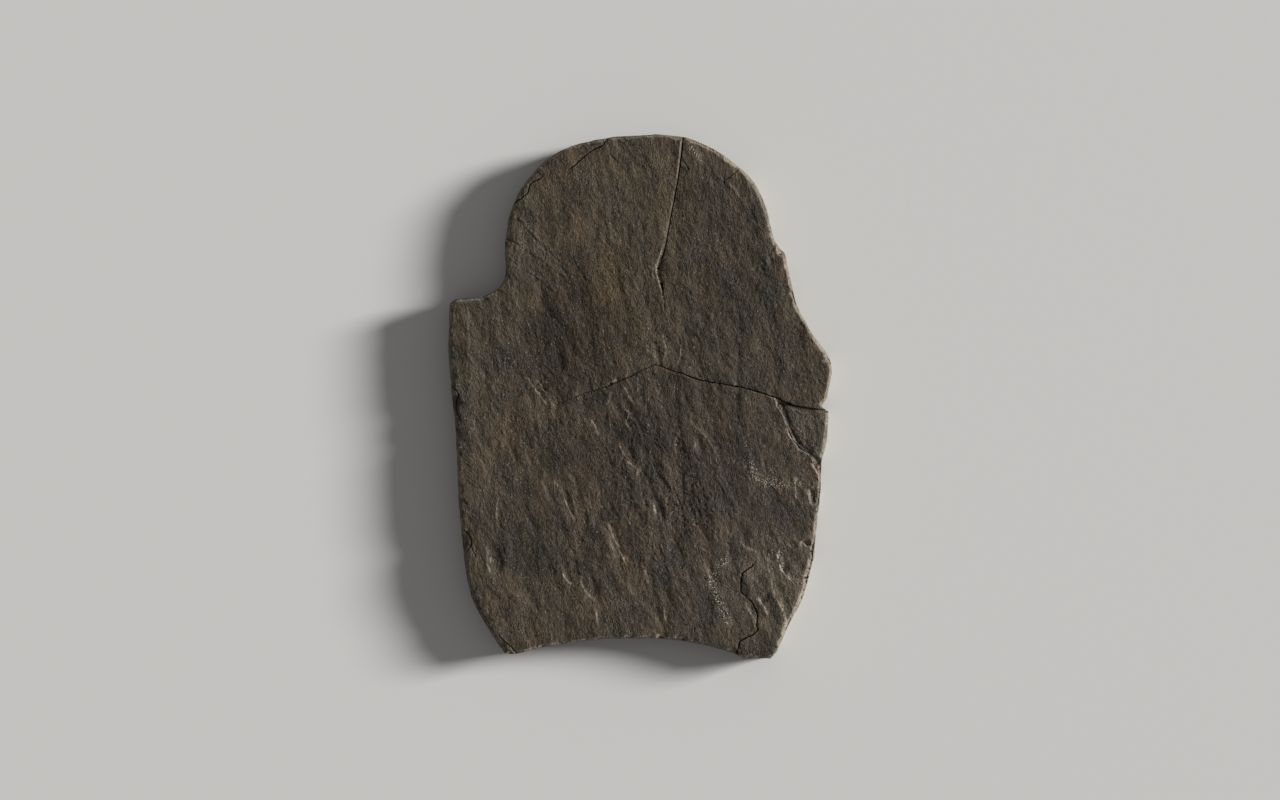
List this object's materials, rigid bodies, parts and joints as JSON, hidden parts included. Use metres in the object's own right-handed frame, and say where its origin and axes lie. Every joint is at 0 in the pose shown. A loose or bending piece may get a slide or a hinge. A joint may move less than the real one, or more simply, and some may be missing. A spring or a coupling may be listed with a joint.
{
  "type": "shouldered stone stele",
  "caption": "Thick flat slab of grey-brown schist with a round head, one stepped shoulder, a hollow foot, running cracks and a refitted edge piece.",
  "frame": {"origin": "on the back, under the middle of the slab's width and height", "axes": "lying on its back: +Y towards the round head, +X towards the right of the face, +Z out of the face"},
  "size_m": [0.526, 0.72, 0.0477],
  "materials": {
    "schist": "weathered grey-brown schist, split along its layers, matt with a faint mica sheen",
    "broken_schist": "the same schist on a later break, finer grained and a little lighter, matt"
  },
  "bodies": {
    "root": {"stele_slab": "schist", "refitted_fragment": "broken_schist"}
  },
  "joints": []
}
